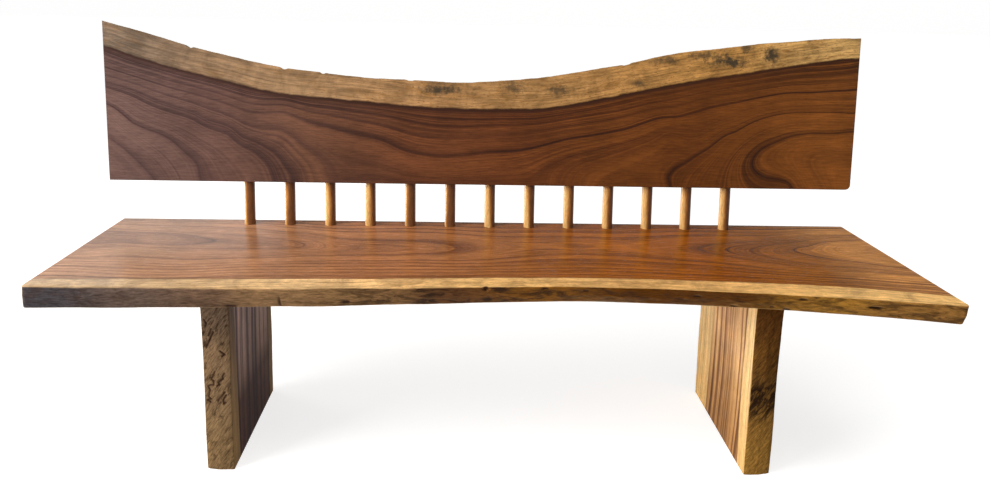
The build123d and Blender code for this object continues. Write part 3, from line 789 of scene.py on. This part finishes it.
class BENCH_OT_seat(bpy.types.Operator):
    """Shapes the seat slab with its natural front edge"""

    bl_idname = "bench.seat"
    bl_label = "Seat slab"

    def execute(self, context):
        sizes = context.scene.bench_sizes
        low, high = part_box("seat_slab")
        half, middle, back = (high[0] - low[0]) / 2, (high[0] + low[0]) / 2, high[1]
        thick, centre = high[2] - low[2], (high[2] + low[2]) / 2
        piece = block("seat", SEAT_CUTS)
        cube = points_of(piece.data)
        tree = cad_tree("seat_slab")
        xs, ws = grid_lines(SEAT_CUTS[0]), grid_lines(SEAT_CUTS[2])
        front = np.empty((len(xs), len(ws)))
        for i, k in np.ndindex(front.shape):
            start = (middle + (half - SHY) * xs[i], -1, centre + ws[k] * (thick / 2 - SHY))
            front[i, k] = touch(tree, start, (0, 1, 0)).y
        run, across = np.meshgrid(middle + half * xs, ws, indexing="ij")
        worn = hollows(run, across, SEAT_PITS, sizes.bark_relief, SEAT_SEED)
        edge = grid_values(cube, front) + grid_values(cube, worn)
        edge = edge + rounding(half * (1 - np.abs(cube[:, 0])), sizes.seat_corner)
        y = back + (1 - cube[:, 1]) / 2 * (edge - back)
        x, z = middle + half * cube[:, 0], centre + cube[:, 2] * thick / 2
        move_points(piece.data, np.column_stack([x, y, z]))
        ease_edges(piece, cube, sizes.edge_ease)

        places, facing = points_of(piece.data), normals_of(piece.data)
        x, depth, down = places[:, 0], back - places[:, 1], high[2] - places[:, 2]
        lean = np.tanh((depth - PITH) / PITH_SPREAD)
        field = ring_field(SEAT_HEART, SEAT_GRAIN)
        bark = step(-facing[:, 1], *BARK_TURN) * step(depth, *SEAT_EDGE)
        # The pits are painted dark as well: painted shade in these hollows
        slits = [(*pit[:4], 1.0) for pit in SEAT_PITS]
        pit = hollows(x, (places[:, 2] - centre) / (thick / 2), slits, 0.0, SEAT_SEED)
        paint(piece.data,
              ring=field(x, np.clip(depth + SEAT_SLOPE * lean * down, *SEAT_SPAN)),
              sap=depth + SEAT_SLOPE * down - flat_curve(SEAT_HEART, x),
              reach=step(x, low[0], high[0]),
              bark=bark,
              mark=step(pit, 0.2, 0.6) * bark)
        along, from_back, size, shade = SEAT_STAIN
        style = LOOKS["seat"] | {"stains": [((along, back - from_back, high[2]), size, shade)]}
        settle(piece, "seat_slab", slab_wood("seat_wood", "X", style))
        piece.data.materials.append(slab_wood("seat_edge_wood", "X", style | {"gloss": EDGE_GLOSS}))
        on_edge = [bark[list(face.vertices)].mean() > 0.5 for face in piece.data.polygons]
        piece.data.polygons.foreach_set("material_index", np.array(on_edge, int))
        return {"FINISHED"}


class BENCH_OT_backrest(bpy.types.Operator):
    """Shapes the raked backrest slab with its natural upper edge"""

    bl_idname = "bench.backrest"
    bl_label = "Backrest slab"

    def execute(self, context):
        sizes = context.scene.bench_sizes
        low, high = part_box("backrest_slab")
        seat_low, seat_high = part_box("seat_slab")
        half, middle, thick = (high[0] - low[0]) / 2, (high[0] + low[0]) / 2, seat_high[2] - seat_low[2]
        up = np.array([0, sin(sizes.rake), cos(sizes.rake)])
        rear = np.array([0, cos(sizes.rake), -sin(sizes.rake)])
        foot = np.array([0, seat_high[1] - sizes.spindle_inset, seat_high[2]]) + sizes.spindle_show * up
        piece = block("backrest", BACK_CUTS)
        cube = points_of(piece.data)
        tree = cad_tree("backrest_slab")
        xs, ws = grid_lines(BACK_CUTS[0]), grid_lines(BACK_CUTS[2])
        top = np.empty((len(xs), len(ws)))
        for i, k in np.ndindex(top.shape):
            side = np.array([middle + (half - SHY) * xs[i], 0, 0])
            start = foot + up + ws[k] * (thick / 2 - SHY) * rear + side
            top[i, k] = (np.array(touch(tree, start, -up)) - foot) @ up
        run, across = np.meshgrid(middle + half * xs, ws, indexing="ij")
        worn = hollows(run, across, BACK_NOTCHES, sizes.bark_relief, BACK_SEED)
        share = ((1 + cube[:, 1]) / 2) ** ROW_CROWDING
        height = share * (grid_values(cube, top) - grid_values(cube, worn))
        x = half * cube[:, 0] - rounding(height, sizes.back_corner) * np.maximum(cube[:, 0], 0)
        flat = np.column_stack([middle + x, np.zeros((len(cube), 2))])
        behind = cube[:, 2] * thick / 2
        move_points(piece.data, foot + flat + np.outer(height, up) + np.outer(behind, rear))
        ease_edges(piece, cube, sizes.edge_ease)

        places, facing = points_of(piece.data), normals_of(piece.data)
        x, height, behind = places[:, 0], (places - foot) @ up, (places - foot) @ rear + thick / 2
        field = ring_field(BACK_HEART, BACK_GRAIN)
        paint(piece.data,
              ring=field(x, np.clip(height - BACK_SLOPE * behind, *BACK_SPAN)),
              sap=height + BACK_HEART_SLOPE * behind - flat_curve(BACK_HEART, x),
              reach=step(x, low[0], high[0]),
              bark=step(facing @ up, *BARK_TURN) * step(height, *BACK_EDGE))
        face = foot - rear * thick / 2
        stains = [((along, *(face + rise * up)[1:]), (wide, STAIN_DEPTH, tall), shade)
                  for along, rise, wide, tall, shade in BACK_STAINS]
        style = LOOKS["backrest"] | {"stains": stains}
        settle(piece, "backrest_slab", slab_wood("backrest_wood", "X", style))
        return {"FINISHED"}


class BENCH_OT_legs(bpy.types.Operator):
    """Shapes the two splayed leg slabs with their natural front and rear edges"""

    bl_idname = "bench.legs"
    bl_label = "Legs"

    def execute(self, context):
        for node, seed in LEG_SEEDS.items():
            style = LOOKS["legs"] | LOOKS[node]
            piece = self.leg(context.scene.bench_sizes, node, seed, *style["sap_widths"])
            settle(piece, node, slab_wood(node + "_wood", "Z", style))
        return {"FINISHED"}

    def leg(self, sizes, node, seed, front_sap, back_sap):
        """One leg: a block on end whose front and rear rows are drawn out to the solid's natural edges."""
        tree = cad_tree(node)
        low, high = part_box(node)
        middle, tall = (low[1] + high[1]) / 2, high[2] - low[2]
        piece = block(node + "_slab", LEG_CUTS)
        cube = points_of(piece.data)
        zs, ws = grid_lines(LEG_CUTS[0]), grid_lines(LEG_CUTS[2])
        across, front, back = np.empty((3, len(zs), len(ws)))
        for i, a in enumerate(zs):
            z = low[2] + tall / 2 + a * (tall / 2 - SHY)
            left = touch(tree, (-2, middle, z), (1, 0, 0)).x
            right = touch(tree, (2, middle, z), (-1, 0, 0)).x
            for k, w in enumerate(ws):
                inside = (left + right) / 2 + w * ((right - left) / 2 - SHY)
                across[i, k] = (left + right) / 2 + w * (right - left) / 2
                front[i, k] = touch(tree, (inside, -2, z), (0, 1, 0)).y
                back[i, k] = touch(tree, (inside, 2, z), (0, -1, 0)).y
        heights, rows = np.meshgrid(low[2] + tall * (0.5 + 0.5 * zs), ws, indexing="ij")
        trail = np.zeros(heights.shape)
        if node == "left_leg":
            trail = trails(rows * np.ptp(across, axis=1)[:, None] / 2, heights)
        front += hollows(heights, rows, (), sizes.bark_relief, seed) + TRAIL_DEPTH * trail
        back -= hollows(heights, rows, (), sizes.bark_relief, seed + REAR_STEP)
        front, back = grid_values(cube, front), grid_values(cube, back)
        paint(piece.data, mark=grid_values(cube, trail) * (cube[:, 1] < -0.999))
        y = back + (1 - cube[:, 1]) / 2 * (front - back)
        z = low[2] + tall * (0.5 + 0.5 * cube[:, 0])
        move_points(piece.data, np.column_stack([grid_values(cube, across), y, z]))
        ease_edges(piece, cube, sizes.edge_ease)

        places, facing = points_of(piece.data), normals_of(piece.data)
        y, z = places[:, 1], places[:, 2]
        bend = sum(size * np.sin(waves * z + share * seed) for size, waves, share in LEG_BENDS)
        # On all but the outer faces the ramps run from foot to top, so the left leg's painted shade falls at
        # its foot
        outside = facing[:, 0] * np.sign(low[0]) > 0.5
        paint(piece.data,
              ring=LEG_RINGS * (y + bend - low[1]) / (high[1] - low[1]),
              sap=bend + np.maximum(front_sap - y + low[1], back_sap - high[1] + y),
              bark=step(np.abs(facing[:, 1]), *BARK_TURN),
              reach=np.where(outside, OUTER_REACH, step(z, low[2], high[2])))
        return piece


class BENCH_OT_spindles(bpy.types.Operator):
    """Turns the row of spindles, each a copy of the first with its own tone and wear"""

    bl_idname = "bench.spindles"
    bl_label = "Spindles"

    def execute(self, context):
        sizes = context.scene.bench_sizes
        boxes = [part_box(name) for name in SPINDLES]
        low, high = boxes[0]
        radius = (high[0] - low[0]) / 2
        long = (high[2] - low[2] - 2 * radius * sin(sizes.rake)) / cos(sizes.rake)
        deselect()
        bpy.ops.mesh.primitive_cylinder_add(vertices=sizes.spindle_sides, radius=radius, depth=long,
                                            location=(0, 0, 0))
        first = bpy.context.object
        places = points_of(first.data)
        ends = ends_of(first.data)
        select_edges(first, np.abs(places[ends[:, 0], 2] - places[ends[:, 1], 2]) > radius)
        bpy.ops.mesh.subdivide(number_cuts=SPINDLE_CUTS)
        mode("OBJECT")
        material = self.wood()
        turn = Matrix.Rotation(-sizes.rake, 4, "X")
        for i, (name, (low, high)) in enumerate(zip(SPINDLES, boxes)):
            mesh = first.data.copy()
            mesh.name = name + "_dowel"
            piece = bpy.data.objects.new(mesh.name, mesh)
            context.scene.collection.objects.link(piece)
            places = points_of(mesh)
            over, along = SPINDLE_WEAR
            for point in places:
                x, y, z = point
                worn = noise.noise(Vector((x * over, y * over, z * along + SPINDLE_WEAR_STEP * i)))
                point[:2] *= 1 - sizes.spindle_wear * (0.5 + 0.5 * worn) / radius
            spin = Matrix.Rotation(SPINDLE_TURN * i, 4, "Z")
            spun = [spin @ Vector(point) for point in places]
            # side runs from -1 on a spindle's left to 1 on its right, for the painted shade in its wood
            paint(mesh,
                  tone=np.full(len(spun), SPINDLE_TONES[i % len(SPINDLE_TONES)]),
                  seed=np.full(len(spun), SPINDLE_STEP * i),
                  side=[point.x / radius for point in spun])
            middle = (Vector(low) + Vector(high)) / 2
            move_points(mesh, np.array([middle + turn @ point for point in spun]))
            for face in mesh.polygons:
                face.use_smooth = len(face.vertices) == 4
            settle(piece, name, material)
        bpy.data.objects.remove(first)
        return {"FINISHED"}

    def wood(self):
        """Dowel wood: straight grain up the spindle, tones of pale and dark wood, and painted shade on each
        spindle's right side.
        """
        wood = Wood("spindle_wood")
        seed = wood.attribute("seed")
        moved = wood.vector("ADD", wood.place()[0], wood.join(seed, seed, seed))
        flat = wood.scaled(moved, (1, 1, 0.06))
        wide = wood.noise(flat, 38.0, 2.0, 0.5, 0.4)
        fine = wood.noise(flat, 420.0, 4.0, 0.6)
        share = wood.sway(wood.attribute("tone"), wide, 0.9)
        # Painted shade: the side layer darkens each spindle's right side and lightens its left
        share = wood.math("MULTIPLY_ADD", wood.attribute("side"), -0.6, share)
        shade = wood.fade(share, 0.22, 0.78)
        base = wood.ramp(shade, ((0.0, "spindle_dark"), (0.5, "spindle_mid"), (1.0, "spindle_light")))
        base = wood.tint(base, fine, 0.7, 1.2)
        crack = wood.fade(wood.noise(flat, 150.0, 2.0, 0.5, 1.2), 0.68, 0.73)
        base = wood.mix(wood.math("MULTIPLY", crack, 0.6), base, wood.shades.ring_line)
        return wood.finish(base, 0.3, wood.math("SUBTRACT", fine, crack), SPINDLE_RELIEF, 0.28)


class BENCH_OT_tenons(bpy.types.Operator):
    """Gives the hidden loose tenons their bare wood"""

    bl_idname = "bench.tenons"
    bl_label = "Loose tenons"

    def execute(self, context):
        wood = Wood("tenon_wood")
        streak = wood.noise(wood.scaled(wood.place()[0], (1, 1, 0.08)), 160.0, 4.0, 0.6)
        base = wood.mix(wood.fade(streak, 0.35, 0.7), wood.shades.sapwood, wood.shades.sap_streak)
        material = wood.finish(base, 0.6, streak, TENON_RELIEF)
        for name in TENONS:
            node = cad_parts[name]
            node.data.materials.clear()
            node.data.materials.append(material)
        return {"FINISHED"}


class BENCH_OT_stage(bpy.types.Operator):
    """Sets the floor, the soft lights and the camera"""

    bl_idname = "bench.stage"
    bl_label = "Stage"

    def execute(self, context):
        scene = context.scene
        deselect()
        bpy.ops.mesh.primitive_plane_add(size=FLOOR_SIZE, location=(0, 0, 0))
        floor = bpy.context.object
        floor.name = "floor"
        mode("EDIT")
        bpy.ops.mesh.select_mode(type="EDGE")
        bpy.ops.mesh.select_all(action="SELECT")
        bpy.ops.mesh.extrude_edges_move(TRANSFORM_OT_translate={"value": (0, 0, WALL_HEIGHT)})
        mode("OBJECT")
        floor.data.materials.append(self.paper())
        for lamp in LAMPS:
            self.softbox(*lamp)
        world = bpy.data.worlds.new("studio")
        scene.world = world
        world.use_nodes = True
        world.node_tree.nodes["Background"].inputs["Color"].default_value = WORLD_COLOUR
        world.node_tree.nodes["Background"].inputs["Strength"].default_value = WORLD_STRENGTH
        scene.view_settings.view_transform = "Standard"
        self.camera(scene)
        return {"FINISHED"}

    def paper(self):
        """White paper: plain diffuse, with a little light of its own to the camera and to reflections."""
        wood = Wood("floor_paper")
        diffuse = wood.node("ShaderNodeBsdfDiffuse", {"Color": (*wood.shades.floor, 1)}).outputs["BSDF"]
        path = wood.node("ShaderNodeLightPath").outputs
        seen = wood.math("MAXIMUM", path["Is Camera Ray"], path["Is Glossy Ray"])
        seen = wood.math("MAXIMUM", seen, path["Is Transmission Ray"])
        away = wood.vector("LENGTH", wood.place()[0])
        seen = wood.math("MULTIPLY", seen, wood.fade(away, 0.8, 3.5, 0.78, 0.94))
        glow = wood.node("ShaderNodeEmission", {"Strength": seen}).outputs["Emission"]
        both = wood.node("ShaderNodeAddShader", {0: diffuse, 1: glow}).outputs["Shader"]
        wood.node("ShaderNodeOutputMaterial", {"Surface": both})
        return wood.material

    def softbox(self, name, place, target, size, power, shade, reflected):
        """A soft rectangular lamp turned towards a target."""
        bpy.ops.object.light_add(type="AREA", location=place)
        lamp = bpy.context.object
        lamp.name = name
        lamp.rotation_euler = (Vector(target) - Vector(place)).to_track_quat("-Z", "Y").to_euler()
        lamp.data.shape = "RECTANGLE"
        lamp.data.size, lamp.data.size_y = size
        lamp.data.energy = power
        lamp.data.color = shade
        lamp.visible_glossy = reflected

    def camera(self, scene):
        bpy.ops.object.camera_add(location=CAMERA_PLACE)
        camera = bpy.context.object
        camera.rotation_euler = [radians(angle) for angle in CAMERA_TURN]
        camera.data.lens = CAMERA_LENS
        camera.data.sensor_width = CAMERA_SENSOR
        camera.data.sensor_fit = "HORIZONTAL"
        scene.camera = camera


class BENCH_PT_sidebar(bpy.types.Panel):
    """Sizes, colours and steps of the bench"""

    bl_label = "Live edge bench"
    bl_space_type = "VIEW_3D"
    bl_region_type = "UI"
    bl_category = "Bench"

    def draw(self, context):
        for group in (context.scene.bench_sizes, context.scene.bench_colours):
            box = self.layout.box()
            for name in group.__annotations__:
                box.prop(group, name)
        for step_class in STEPS:
            self.layout.operator(step_class.bl_idname)


STEPS = (BENCH_OT_stage, BENCH_OT_seat, BENCH_OT_backrest, BENCH_OT_legs, BENCH_OT_spindles, BENCH_OT_tenons)
CLASSES = (BenchSizes, BenchColours) + STEPS + (BENCH_PT_sidebar,)


def register():
    for each in CLASSES:
        bpy.utils.register_class(each)
    bpy.types.Scene.bench_sizes = PointerProperty(type=BenchSizes)
    bpy.types.Scene.bench_colours = PointerProperty(type=BenchColours)


def unregister():
    del bpy.types.Scene.bench_colours
    del bpy.types.Scene.bench_sizes
    for each in reversed(CLASSES):
        bpy.utils.unregister_class(each)


def main():
    register()
    bpy.ops.bench.stage()
    bpy.ops.bench.seat()
    bpy.ops.bench.backrest()
    bpy.ops.bench.legs()
    bpy.ops.bench.spindles()
    bpy.ops.bench.tenons()


if __name__ == "__main__":
    main()
